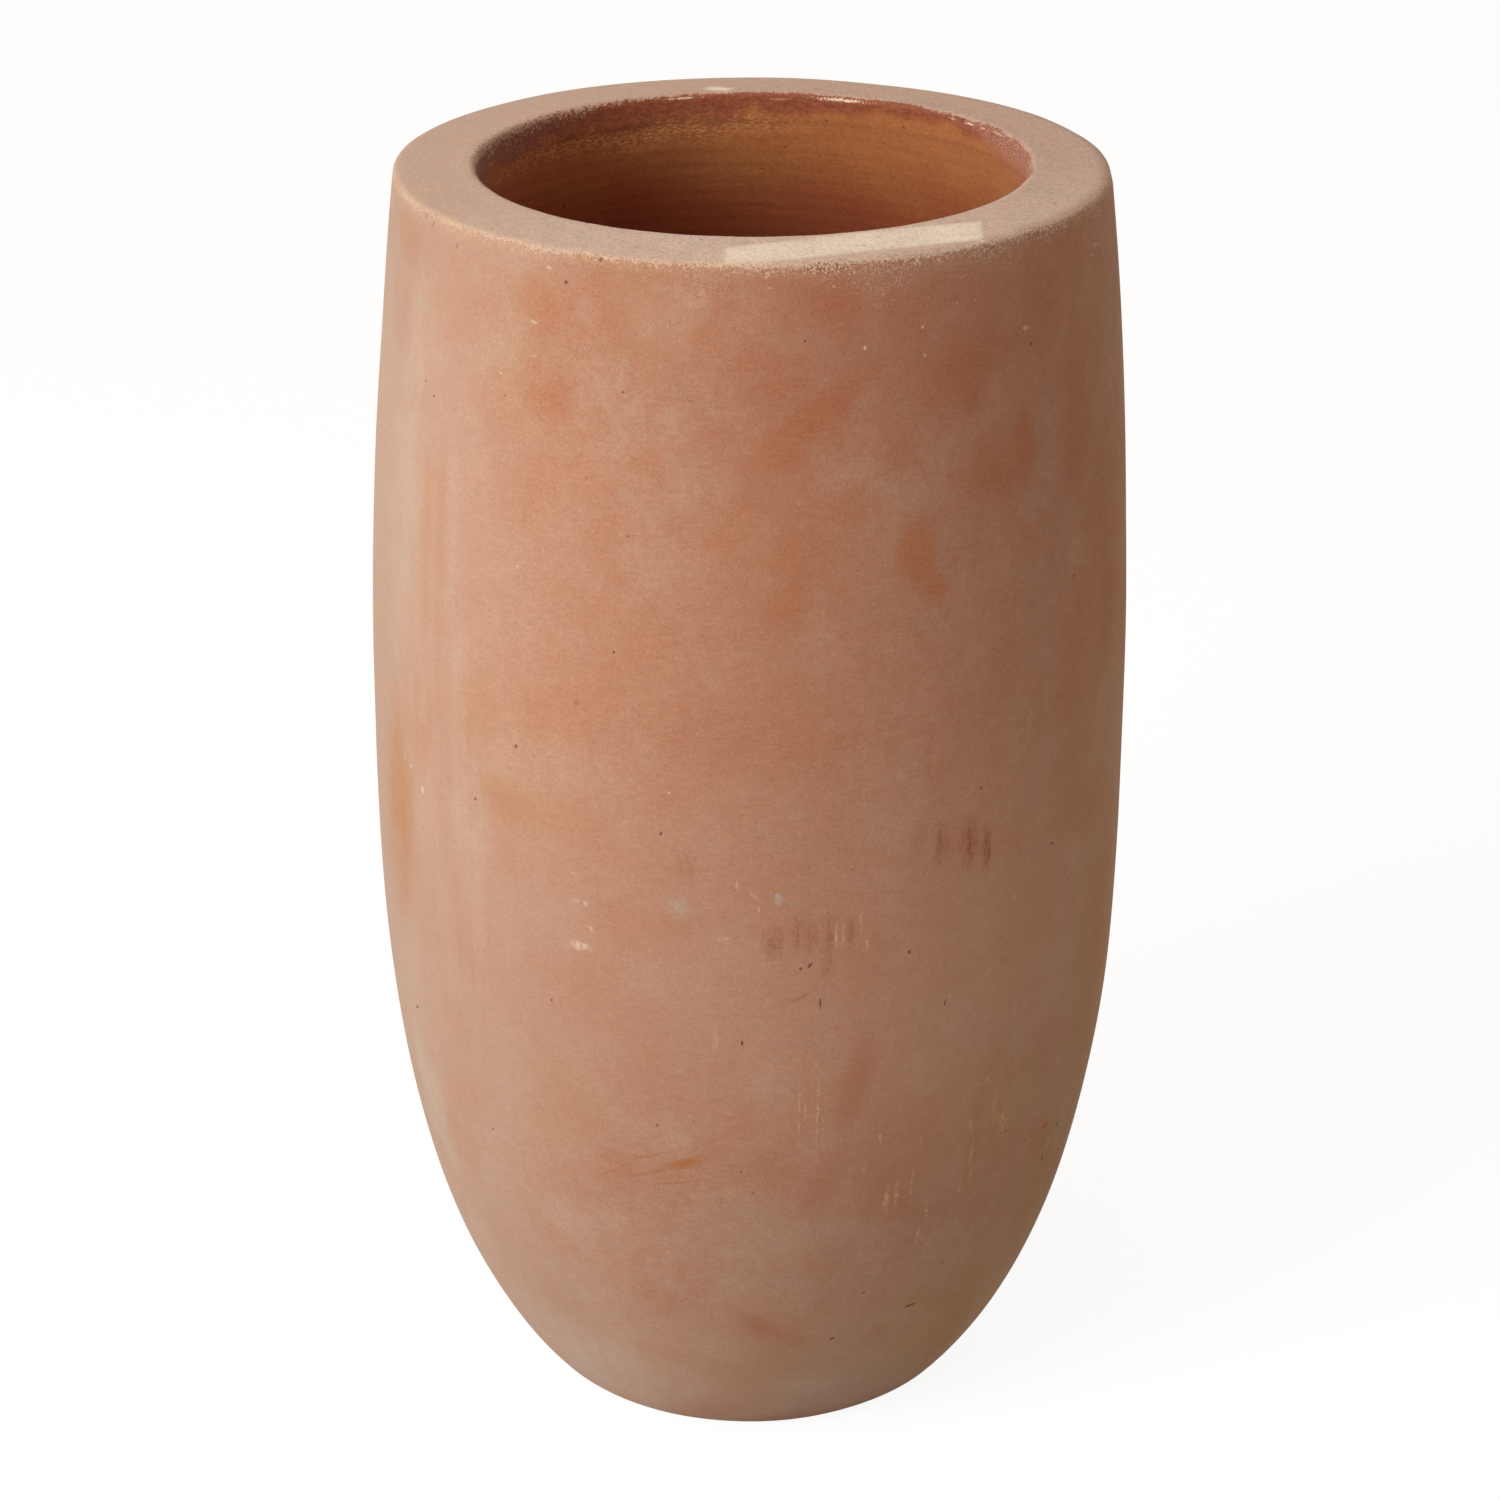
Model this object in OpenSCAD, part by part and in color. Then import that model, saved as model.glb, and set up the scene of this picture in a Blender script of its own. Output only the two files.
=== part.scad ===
// Tall egg-shaped terracotta planter: a hollow jar, thrown and fired as one piece of clay.
// It has a thick, flat-topped rim turned in over the mouth, a belly just above mid-height,
// a body that draws in to a small flat foot, and a drainage hole through the floor.
// Origin: centre of the foot, on the surface that the jar stands on. +Z is up.

/* [Body] */
// Overall height, foot to crown of the rim
jar_h = 800; // [700:5:900]
// Diameter at the belly, the widest place
belly_d = 474; // [450:2:540]
// Height of the belly above the ground
belly_h = 412; // [350:2:460]
// Diameter of the flat foot
foot_d = 284; // [200:2:340]
// Fullness of the curve below the belly: 2 is an ellipse, more is squarer
fullness = 2.44; // [2:0.02:3]

/* [Rim] */
// Outer diameter of the rim
rim_d = 426; // [390:2:440]
// Diameter of the mouth
mouth_d = 328; // [240:2:330]
// How far the flat top falls from its inner edge to its outer edge
rim_fall = 2; // [0:0.5:6]
// Softening of the rim's outer edge
rim_edge = 4; // [2:0.5:10]
// Softening of the rim's inner edge
mouth_edge = 5; // [3:0.5:12]
// Height of the upright band inside the mouth
mouth_band_h = 18; // [14:1:30]
// How far the wall steps back below that band
mouth_step = 1; // [0.5:0.5:6]
// Height over which it steps back
step_h = 10; // [8:1:20]

/* [Walls] */
// Wall thickness of the body
wall = 20; // [14:1:30]
// Depth below the mouth band over which the thick rim thins to the wall
rim_taper_h = 180; // [100:5:260]
// Thickness of the floor
floor_h = 26; // [18:1:40]
// Rounding inside, between the floor and the wall
floor_fillet = 45; // [20:1:55]
// Softening of the foot's edge
foot_edge = 3; // [2:0.5:12]

/* [Drainage] */
// Diameter of the hole in the middle of the floor
drain_d = 28; // [16:1:50]

/* [Hidden] */

clay = [0.76, 0.52, 0.40];
belly_r = belly_d / 2;
foot_r = foot_d / 2;
rim_r = rim_d / 2;
mouth_r = mouth_d / 2;

// Height of the rim's outer edge, and of the lower edge of the band inside the mouth
rim_z = jar_h - rim_fall;
band_z = jar_h - mouth_band_h;

// Share of the quarter superellipse, from the belly down, that the ground leaves standing
ground_cut = pow(1 - pow(foot_r / belly_r, fullness), 1 / fullness);

// Radius of the arc that leaves the belly upright and meets the rim's outer edge
shoulder_rise = rim_z - belly_h;
shoulder_in = belly_r - rim_r;
shoulder_arc_r = (pow(shoulder_rise, 2) + pow(shoulder_in, 2)) / (2 * shoulder_in);

// Steps along each stretch of the section, and round the jar
wall_steps = 64;
corner_steps = 8;
round_steps = 180;
overcut = 1;

// Outer radius at a height: superellipse up to the belly, one long arc above it
function outer_r(z) = z < belly_h
    ? belly_r * pow(1 - pow(ground_cut * (1 - z / belly_h), fullness), 1 / fullness)
    : belly_r - shoulder_arc_r + sqrt(pow(shoulder_arc_r, 2) - pow(z - belly_h, 2));

// 1 under the mouth band, easing to 0 where the rim has thinned to the plain wall
function rim_share(z) = let (t = (band_z - z) / rim_taper_h)
    t >= 1 ? 0 : (1 + cos(180 * t)) / 2;

// Wall thickness at a height, and the inner radius that it leaves
thick_under_band = outer_r(band_z) - mouth_r - mouth_step;
function wall_at(z) = wall + (thick_under_band - wall) * rim_share(z);
function inner_r(z) = outer_r(z) - wall_at(z);

// Points from a to b round a softened corner at p: a quadratic curve, tangent at both ends
function soft_corner(a, p, b) =
    [for (i = [0:corner_steps]) let (t = i / corner_steps)
        pow(1 - t, 2) * a + 2 * t * (1 - t) * p + pow(t, 2) * b];

// Heights between two ends, in even steps, without the ends
function between(z0, z1) = [for (i = [1:wall_steps - 1]) z0 + (z1 - z0) * i / wall_steps];

// Half section of the jar, from the middle of the foot, up the outside and down the inside
module half_section() {
    edge_z = rim_z - rim_edge;
    edge_fall = rim_fall * rim_edge / (rim_r - mouth_r);
    undercut_z = band_z - step_h;
    fillet_z = floor_h + floor_fillet;
    polygon(concat(
        [[0, 0]],
        soft_corner([foot_r - foot_edge, 0], [foot_r, 0], [outer_r(foot_edge), foot_edge]),
        [for (z = between(foot_edge, edge_z)) [outer_r(z), z]],
        soft_corner([outer_r(edge_z), edge_z], [rim_r, rim_z], [rim_r - rim_edge, rim_z + edge_fall]),
        soft_corner([mouth_r + mouth_edge, jar_h], [mouth_r, jar_h], [mouth_r, jar_h - mouth_edge]),
        soft_corner([mouth_r, band_z], [mouth_r + mouth_step, band_z - mouth_step],
                    [inner_r(undercut_z), undercut_z]),
        [for (z = between(undercut_z, fillet_z)) [inner_r(z), z]],
        soft_corner([inner_r(fillet_z), fillet_z], [inner_r(floor_h), floor_h],
                    [inner_r(floor_h) - floor_fillet, floor_h]),
        [[0, floor_h]]));
}

module planter_jar() {
    color(clay)
    difference() {
        rotate_extrude($fn = round_steps) half_section();
        translate([0, 0, -overcut])
            cylinder(d = drain_d, h = floor_h + 2 * overcut, $fn = round_steps / 2);
    }
}

planter_jar();
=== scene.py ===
"""Looks of the tall terracotta planter jar: its fired clay wall, its weathering, the light and the camera.

Lengths are in metres, except where a name or a comment says millimetres. A place on the jar is given by
its bearing, in degrees round the jar, and its height above the ground in millimetres. Bearing 0 faces
the camera and bearings grow towards the camera's right.
"""

import math

import bpy
import numpy as np
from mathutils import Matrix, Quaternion, Vector


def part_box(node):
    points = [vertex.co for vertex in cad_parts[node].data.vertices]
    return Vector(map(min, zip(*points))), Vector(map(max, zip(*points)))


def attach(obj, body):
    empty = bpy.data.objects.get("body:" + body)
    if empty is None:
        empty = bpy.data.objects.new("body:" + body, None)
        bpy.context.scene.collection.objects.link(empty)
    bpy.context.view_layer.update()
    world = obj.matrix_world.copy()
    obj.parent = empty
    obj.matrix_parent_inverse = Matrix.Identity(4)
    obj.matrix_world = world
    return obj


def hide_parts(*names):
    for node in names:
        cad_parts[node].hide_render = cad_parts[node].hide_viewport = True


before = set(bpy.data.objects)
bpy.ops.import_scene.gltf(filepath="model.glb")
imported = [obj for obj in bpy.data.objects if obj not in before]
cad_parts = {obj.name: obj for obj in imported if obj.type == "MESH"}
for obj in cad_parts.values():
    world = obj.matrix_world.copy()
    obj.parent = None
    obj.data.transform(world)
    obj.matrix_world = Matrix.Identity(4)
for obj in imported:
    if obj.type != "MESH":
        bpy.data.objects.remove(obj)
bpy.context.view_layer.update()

# -------------------- sizes, as the solid has them

jar_low, jar_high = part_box("planter_jar")
JAR_H = jar_high.z - jar_low.z
BELLY_R = round(jar_high.x, 3)
BELLY_H = 0.412
FOOT_R = 0.142
FULLNESS = 2.44
RIM_R = 0.213
MOUTH_R = 0.164
RIM_FALL = 0.002
RIM_EDGE = 0.004
MOUTH_EDGE = 0.005
MOUTH_BAND_H = 0.018
MOUTH_STEP = 0.001
STEP_H = 0.010
WALL = 0.020
RIM_TAPER_H = 0.180
FLOOR_H = 0.026
FLOOR_FILLET = 0.045
FOOT_EDGE = 0.003
DRAIN_R = 0.014

RIM_Z = JAR_H - RIM_FALL
BAND_Z = JAR_H - MOUTH_BAND_H
GROUND_CUT = (1 - (FOOT_R / BELLY_R) ** FULLNESS) ** (1 / FULLNESS)
SHOULDER_RISE = RIM_Z - BELLY_H
SHOULDER_ARC_R = (SHOULDER_RISE**2 + (BELLY_R - RIM_R) ** 2) / (2 * (BELLY_R - RIM_R))

# Quads round the jar, millimetres in a metre, and millimetres of belly in a degree of bearing
AROUND = 360
MM = 1000
MM_PER_DEGREE = math.radians(BELLY_R) * MM

# Depth below the mouth's band down to which the inside shows, and so has finer rows
FINE_INSIDE_H = 0.13

# At the rim the jar leans this much to the camera's right. Its belly is this much flatter on that side. Its
# rim bulges this much at the back on the camera's left
TOP_LEAN = 0.0017
FLAT_SIDE = 0.0013
RIM_BULGE = 0.0028

# How far the skin lies inside the solid: on average, and at least on the outer wall
SKIN_IN = 0.00025
LEAST_SKIN_IN = 0.00015

# How many sine waves one noise is the sum of
WAVES_IN_NOISE = 18

# Ripples of the hand-made surface: height, length of the waves, seed
WALL_RIPPLE = (0.00018, 0.11, 11)
BAND_RIPPLES = [(0.00014, 0.024, 12), (0.00010, 0.009, 13)]
NEAR_BAND_RIPPLE = (0.00012, 0.009, 14)
INSIDE_RIPPLE = (0.0004, 0.07, 16)

# Turning rings on the inside: height, pitch in mm, and how their line wanders
RING_RISE = 0.00022
RING_PITCH = 9.5
RING_WANDER = (2.5, 0.16, 15)

# How far use has worn off the rim's outer corner, on the camera's right
CORNER_WORN = 0.0007

# Stretches of the section that stains and marks lie on
WALL_PARTS = ("foot_edge", "wall", "rim_edge")
EDGE_PARTS = ("wall", "rim_edge", "rim")
BAND_PARTS = ("band", "undercut", "inside")
MOUTH_PARTS = ("mouth_edge", *BAND_PARTS)


def outer_r(z):
    """Outer radius at a height: superellipse up to the belly, one long arc above it."""
    below = np.clip(1 - z / BELLY_H, 0, 1)
    above = np.clip(z - BELLY_H, 0, None)
    lower = BELLY_R * (1 - (GROUND_CUT * below) ** FULLNESS) ** (1 / FULLNESS)
    upper = BELLY_R - SHOULDER_ARC_R + np.sqrt(SHOULDER_ARC_R**2 - above**2)
    return np.where(z < BELLY_H, lower, upper)


def inner_r(z):
    """Inner radius at a height: the wall is thick under the rim and thins as it goes down."""
    under_band = float(outer_r(BAND_Z)) - MOUTH_R - MOUTH_STEP
    t = np.clip((BAND_Z - z) / RIM_TAPER_H, 0, 1)
    return outer_r(z) - (WALL + (under_band - WALL) * (1 + np.cos(math.pi * t)) / 2)


# -------------------- the section


def straight(a, b, steps):
    t = np.linspace(0, 1, steps + 1)[:, None]
    return (1 - t) * np.array(a) + t * np.array(b)


def soft_corner(a, p, b, steps):
    t = np.linspace(0, 1, steps + 1)[:, None]
    a, p, b = np.array(a), np.array(p), np.array(b)
    return (1 - t) ** 2 * a + 2 * t * (1 - t) * p + t**2 * b


def curve(radius_at, heights):
    return np.column_stack([radius_at(heights), heights])


def jar_section():
    """Stretches of the closed section, from the drain hole out, up the wall and down the inside.

    Each stretch is its name, its points as (radius, height), and its share of the texture's sharpness.
    """
    edge_z = RIM_Z - RIM_EDGE
    edge_fall = RIM_FALL * RIM_EDGE / (RIM_R - MOUTH_R)
    undercut_z = BAND_Z - STEP_H
    fillet_z = FLOOR_H + FLOOR_FILLET
    floor_r = float(inner_r(FLOOR_H))
    rim_out = (RIM_R - RIM_EDGE, RIM_Z + edge_fall)
    rim_in = (MOUTH_R + MOUTH_EDGE, JAR_H)
    wall_foot = (float(outer_r(FOOT_EDGE)), FOOT_EDGE)
    wall_top = (float(outer_r(edge_z)), edge_z)
    band_top = (MOUTH_R, JAR_H - MOUTH_EDGE)
    band_end = (MOUTH_R, BAND_Z)
    step_in = (MOUTH_R + MOUTH_STEP, BAND_Z - MOUTH_STEP)
    undercut = (float(inner_r(undercut_z)), undercut_z)
    seen_z = np.linspace(undercut_z, BAND_Z - FINE_INSIDE_H, 42)
    inside_z = np.concatenate([seen_z, np.linspace(seen_z[-1], fillet_z, 22)[1:]])
    fillet_top = (float(inner_r(fillet_z)), fillet_z)
    floor_edge = (floor_r - FLOOR_FILLET, FLOOR_H)
    return [
        ("foot", straight((DRAIN_R, 0), (FOOT_R - FOOT_EDGE, 0), 7), 0.4),
        ("foot_edge", soft_corner((FOOT_R - FOOT_EDGE, 0), (FOOT_R, 0), wall_foot, 5), 1.0),
        ("wall", curve(outer_r, np.linspace(FOOT_EDGE, edge_z, 151)), 1.0),
        ("rim_edge", soft_corner(wall_top, (RIM_R, RIM_Z), rim_out, 6), 1.0),
        ("rim", straight(rim_out, rim_in, 8), 1.0),
        ("mouth_edge", soft_corner(rim_in, (MOUTH_R, JAR_H), band_top, 8), 1.0),
        ("band", straight(band_top, band_end, 4), 1.0),
        ("undercut", soft_corner(band_end, step_in, undercut, 5), 1.0),
        ("inside", curve(inner_r, inside_z), 0.6),
        ("fillet", soft_corner(fillet_top, (floor_r, FLOOR_H), floor_edge, 7), 0.4),
        ("floor", straight(floor_edge, (DRAIN_R, FLOOR_H), 6), 0.4),
        ("drain", straight((DRAIN_R, FLOOR_H), (DRAIN_R, 0), 3), 0.4),
    ]


class Skin:
    """The grid of the jar's surface: one row for each point of the section, AROUND columns."""

    def __init__(self):
        points, names, lengths = [], [], []
        for name, stretch, sharpness in jar_section():
            steps = np.diff(stretch, axis=0)
            points.append(stretch[:-1])
            names += [name] * (len(stretch) - 1)
            lengths.append(np.hypot(steps[:, 0], steps[:, 1]) * sharpness)
        self.section = np.concatenate(points)
        self.names = np.array(names)
        lengths = np.concatenate(lengths)
        self.v = np.concatenate([[0], np.cumsum(lengths)]) / lengths.sum()
        self.rows = len(self.section)
        # Column 0 is at the back, so that the texture's seam isn't seen from the front
        columns = np.arange(AROUND)
        self.bearing = np.tile(columns * 360 / AROUND - 180, (self.rows, 1))
        self.height = np.repeat(self.section[:, 1:] * MM, AROUND, axis=1)
        self.radius = np.repeat(self.section[:, :1], AROUND, axis=1)

    def part(self, *names):
        """1 on the rows of these stretches and 0 elsewhere, for every point of the grid."""
        chosen = np.isin(self.names, names).astype(float)
        return np.repeat(chosen[:, None], AROUND, axis=1)

    def normals(self):
        """Unit normals of the section, out of the clay, as (radial, up)."""
        tangent = np.roll(self.section, -1, axis=0) - np.roll(self.section, 1, axis=0)
        tangent /= np.linalg.norm(tangent, axis=1)[:, None]
        return np.column_stack([tangent[:, 1], -tangent[:, 0]])

    def places(self, push=0.0):
        """Points of the grid, pushed out of the clay along its normal by push metres."""
        normal = self.normals()
        r = self.radius + normal[:, :1] * push
        z = self.height / MM + normal[:, 1:] * push
        a = np.radians(self.bearing)
        return np.stack([r * np.sin(a), -r * np.cos(a), z], axis=-1)


skin = Skin()


# -------------------- unevenness of the hand-made wall


def waves(size, seed):
    """Smooth seeded noise over the grid, of about -1 to 1: a sum of sine waves some size metres long."""
    rng = np.random.default_rng(seed)
    places = skin.places()
    total = np.zeros(places.shape[:-1])
    for _ in range(WAVES_IN_NOISE):
        direction = rng.normal(size=3)
        direction /= np.linalg.norm(direction)
        turns = 2 * math.pi / (size * rng.uniform(0.7, 1.6))
        total += np.sin(places @ direction * turns + rng.uniform(0, 2 * math.pi))
    return total / math.sqrt(WAVES_IN_NOISE)


def smooth_step(low, high, value):
    t = np.clip((value - low) / (high - low), 0, 1)
    return t * t * (3 - 2 * t)


def facing(bearing, low, high):
    """1 on the side that faces this bearing, easing to 0 away from it, by the cosine's limits."""
    return smooth_step(low, high, np.cos(np.radians(skin.bearing - bearing)))


def ripple(rise, size, seed):
    return rise * waves(size, seed)


def outer_push():
    """How far the outer wall and the rim lie out of the solid, at each point: never more than allowed."""
    worn = skin.part("rim_edge") * facing(75, -0.2, 0.8)
    belly = skin.part("wall") * facing(90, 0.3, 1.0) * np.exp(-(((skin.height - 420) / 130) ** 2))
    push = ripple(*WALL_RIPPLE) - CORNER_WORN * worn - FLAT_SIDE * belly - SKIN_IN
    return np.minimum(push, -LEAST_SKIN_IN)


def inner_push():
    """How far the mouth and the inside lie out of the solid, at each point."""
    mouth = skin.part("band", "undercut") + 0.4 * skin.part("mouth_edge")
    inside = skin.part("inside", "fillet", "floor")
    near_band = inside * smooth_step(730, 775, skin.height)
    rings = RING_RISE * np.sin(2 * math.pi * skin.height / RING_PITCH + ripple(*RING_WANDER))
    push = mouth * sum(ripple(*each) for each in BAND_RIPPLES) + near_band * ripple(*NEAR_BAND_RIPPLE)
    return push + inside * (rings + ripple(*INSIDE_RIPPLE)) - SKIN_IN * (1 - skin.part("foot", "drain"))


def uneven_places():
    """The jar's points, with the unevenness, the lean and the bulge of this one hand-made jar."""
    outside = skin.part("foot_edge", *EDGE_PARTS)
    places = skin.places(np.where(outside > 0, outer_push(), inner_push()))
    places[..., 0] += TOP_LEAN * smooth_step(560, 790, skin.height)
    bulge = RIM_BULGE * outside * facing(-142, 0.4, 1.0) * smooth_step(680, 780, skin.height)
    places[..., :2] *= (1 + bulge * smooth_step(MOUTH_R, RIM_R, skin.radius) / skin.radius)[..., None]
    return places


# -------------------- where the stains lie

# Each spot: bearing, height, half width and half height in mm, strength and, where it leans, its tilt
ORANGE_SPOTS = [
    (-67, 776, 19, 14, 0.8),
    (-49, 752, 30, 14, 0.5),
    (-55, 612, 6, 52, 0.8),
    (-51.5, 615, 5, 50, 0.6),
    (-43, 517, 17, 20, 0.45),
    (-31, 524, 16, 15, 0.35),
    (-36, 466, 22, 15, 0.45),
    (-27, 466, 16, 13, 0.35),
    (-64, 430, 18, 58, 1.15),
    (-58, 478, 15, 20, 0.9),
    (-57.5, 503, 4, 15, 0.8),
    (-54, 500, 3, 18, 0.6),
    (-61, 497, 4, 13, 0.7),
    (-17, 405, 24, 15, 0.5),
    (3, 738, 26, 14, 0.5),
    (9, 712, 42, 10, 0.9, 38),
    (4, 693, 20, 11, 0.9, 20),
    (-15.5, 690, 11, 20, 0.5),
    (-27, 674, 14, 14, 0.4),
    (20.5, 692, 16, 11, 0.8, -35),
    (-2, 652, 14, 18, 0.7),
    (14, 655, 19, 15, 0.5),
    (6, 632, 22, 18, 0.7),
    (5, 607, 14, 12, 0.8),
    (24.3, 628, 11, 19, 1.6, 6),
    (26.6, 606, 9, 8, 1.6),
    (43.5, 680, 10, 18, 1.4, 8),
    (38, 668, 22, 16, 0.7),
    (57, 435, 28, 20, 0.45),
    (60, 520, 20, 22, 0.35),
    (41.5, 262, 9, 34, 0.4, 8),
    (37, 226, 7, 34, 0.7),
    (12, 776, 18, 16, 0.5),
    (-30, 250, 26, 40, 0.45),
    (20, 225, 16, 26, 0.4),
    (54, 212, 14, 18, 0.6),
    (-33, 768, 22, 14, 0.7),
    (57, 520, 22, 60, 0.5),
]
RED_SPOTS = [
    (-31, 738, 15, 26, 0.5),
    (-29.5, 718, 13, 18, 0.6),
    (-68, 735, 16, 24, 0.4),
    (62, 615, 26, 46, 0.5),
    (56, 650, 20, 18, 0.4),
    (-5, 515, 19, 14, 0.4),
    (32, 530, 26, 46, 0.3),
    (15.7, 296, 9, 34, 1.05, -12),
    (12, 234, 13, 30, 0.85, -20),
    (4, 240, 22, 15, 0.45),
    (22, 200, 26, 11, 0.5),
    (12, 205, 14, 12, 0.4),
    (4, 107, 27, 8, 1.3, -34),
    (6.5, 92, 14, 26, 0.65),
    (-8, 22, 28, 16, 0.9, 10),
    (-55, 240, 30, 70, 0.5),
    (24.5, 92, 12, 9, 0.7),
    (45, 742, 60, 20, 0.7),
    (62, 730, 20, 26, 0.4),
    (-40, 130, 50, 50, 0.3),
    (49, 755, 8, 3, 0.7),
    (45, 73, 10, 4, 1),
    (17, 748, 66, 46, 1),
    (-60, 778, 90, 18, 0.35),
    (52, 770, 40, 30, 0.5),
    (-66, 400, 30, 60, 0.5),
    (10, 400, 50, 60, 0.35),
    (20, 250, 50, 50, 0.35),
    (32, 728, 40, 30, 1.7),
    (-42, 385, 100, 60, 0.3),
    (12, 776, 26, 18, 1.3),
    (32, 772, 66, 22, 0.8),
    (58, 720, 34, 34, 0.55),
    (38, 562, 16, 40, 0.6),
    (68, 330, 24, 80, 0.45),
    (68, 150, 20, 70, 0.6),
    (0, 50, 26, 22, 0.7),
    (32.5, 446, 15, 17, 0.6),
    (8, 402, 26, 15, 0.55),
    (11, 170, 18, 16, 0.5),
    (22, 745, 22, 50, 1.25),
    (56, 690, 18, 60, 1),
    (66, 560, 14, 40, 0.9),
    (44, 60, 26, 40, 0.6),
    (44, 92, 26, 26, 0.5),
    # This dark red line round the foot is a painted contact shadow
    (10, 2, 110, 8, 1),
    (55, 165, 24, 40, 0.4),
]
BLOOM_SPOTS = [
    (-17.5, 748, 10, 22, 0.6),
    (-4.5, 722, 12, 15, 0.55, 40),
    (14.5, 688, 19, 12, 0.55, 25),
    (23, 666, 20, 8, 0.4, -15),
    (28, 692, 14, 22, 0.2),
    (42, 709, 19, 11, 0.5),
    (46, 646, 14, 14, 0.5),
    (56.5, 598, 10, 10, 0.85),
    (-47, 540, 8, 34, 0.55),
    (-48.5, 610, 4, 60, 0.35),
    (-61, 690, 10, 60, 0.4),
    (-63, 590, 16, 60, 0.3),
    (-45, 440, 14, 52, 0.5),
    (-38, 395, 40, 30, 0.25),
    (-62, 225, 26, 38, 0.65),
    (22, 480, 12, 46, 0.35),
    (10, 570, 14, 20, 0.3),
    (-16, 378, 18, 18, 0.3),
    (12, 48, 34, 9, 0.45),
    (4, 150, 34, 12, 0.25),
    (68, 690, 12, 50, 0.4),
    (-15, 768, 26, 22, 1),
    (-15, 725, 30, 40, 0.7),
    (-14, 640, 24, 100, 0.4),
    (-36, 40, 60, 30, 0.5),
    (-10, 773, 16, 15, 1.35),
    (32, 168, 34, 26, 0.45),
    (-28, 45, 60, 22, 0.35),
    (-30, 492, 50, 22, 0.5),
    (-9, 574, 40, 24, 0.35),
    (-1, 640, 22, 46, 0.25),
    (-1, 396, 24, 28, 0.25),
    (-11, 254, 18, 22, 0.5),
    (16, 788, 24, 7, 0.7),
    (34, 788, 30, 6, 0.6),
    (-8, 36, 40, 12, 0.3),
]
OLIVE_SPOTS = [
    (44, 372, 36, 40, 0.4),
    (42, 250, 44, 40, 0.9),
    (60, 155, 34, 60, 1.9),
    (58, 430, 28, 20, 0.5),
    (67, 300, 40, 170, 1.3),
    (67, 580, 40, 220, 0.9),
    (46, 75, 70, 50, 1.7),
    (10, 70, 60, 40, 0.5),
    (64, 740, 36, 50, 0.8),
    (-34, 466, 30, 15, 0.6),
    (-43, 518, 18, 19, 0.5),
    (-31, 524, 16, 15, 0.4),
    (-66, 425, 18, 60, 0.5),
    (-35, 725, 24, 30, 0.5),
    (-28, 276, 28, 26, 0.55),
    (-33, 770, 20, 14, 0.5),
    (57, 490, 26, 34, 0.7),
]
# Painted light and painted shade: spots where the wall is made evenly lighter or darker to stand in for how
# the light falls. The darkest runs round the foot as a painted contact shadow
PAINTED_LIGHT_SPOTS = [
    (-32, 570, 90, 170, 1.2),
    (40, 410, 70, 150, 1.2),
    (30, 80, 40, 60, 0.5),
    (-12, 765, 40, 30, 0.7),
    (41.5, 262, 8, 32, 1.6, 8),
    (57, 560, 30, 50, 0.6),
]
PAINTED_SHADE_SPOTS = [
    (8, 745, 80, 60, 0.5),
    (-76, 775, 60, 60, 1.4),
    (-76, 400, 40, 400, 0.8),
    (2, 160, 90, 90, 1.1),
    (66, 160, 40, 90, 1),
    (74, 740, 40, 80, 0.8),
    (-40, 110, 60, 50, 0.5),
    (10, 2, 110, 9, 1.1),
]
PLUM_SMEARS = [
    (28, 447, 6, 15, 0.75),
    (32.7, 445, 6, 16, 1),
    (36, 436, 3.6, 15, 1.4),
    (3.2, 398, 6.5, 12, 0.8),
    (7.6, 402, 8, 13, 0.8),
    (11, 390, 3.5, 24, 0.85),
    (14, 402, 5, 10, 0.7),
    (-9, 404, 4, 8, 0.4),
    (-9, 445, 9, 10, 0.4),
    (24, 455, 10, 12, 0.25),
]

# Where fine upright streaks show, and where grains of quartz sparkle
STREAKED_SPOTS = [
    (-50, 410, 62, 150, 1.3),
    (-62, 620, 30, 120, 0.7),
    (8, 280, 60, 40, 0.4),
    (40, 240, 60, 60, 0.4),
    (180, 400, 260, 260, 0.5),
]
SPARKLE_SPOTS = [
    (11, 795, 17, 3.5, 0.9),
    (38.5, 796, 17, 3, 0.9),
    (24, 794, 26, 4, 0.4),
    (-6, 787, 20, 6, 0.15),
    (50, 795, 22, 6, 0.8),
    (18, 788, 26, 8, 0.3),
    (36, 789, 26, 7, 0.3),
    (68, 789, 24, 6, 0.4),
    (150, 795, 60, 4, 0.6),
    (215, 795, 90, 4, 0.6),
]

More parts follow.
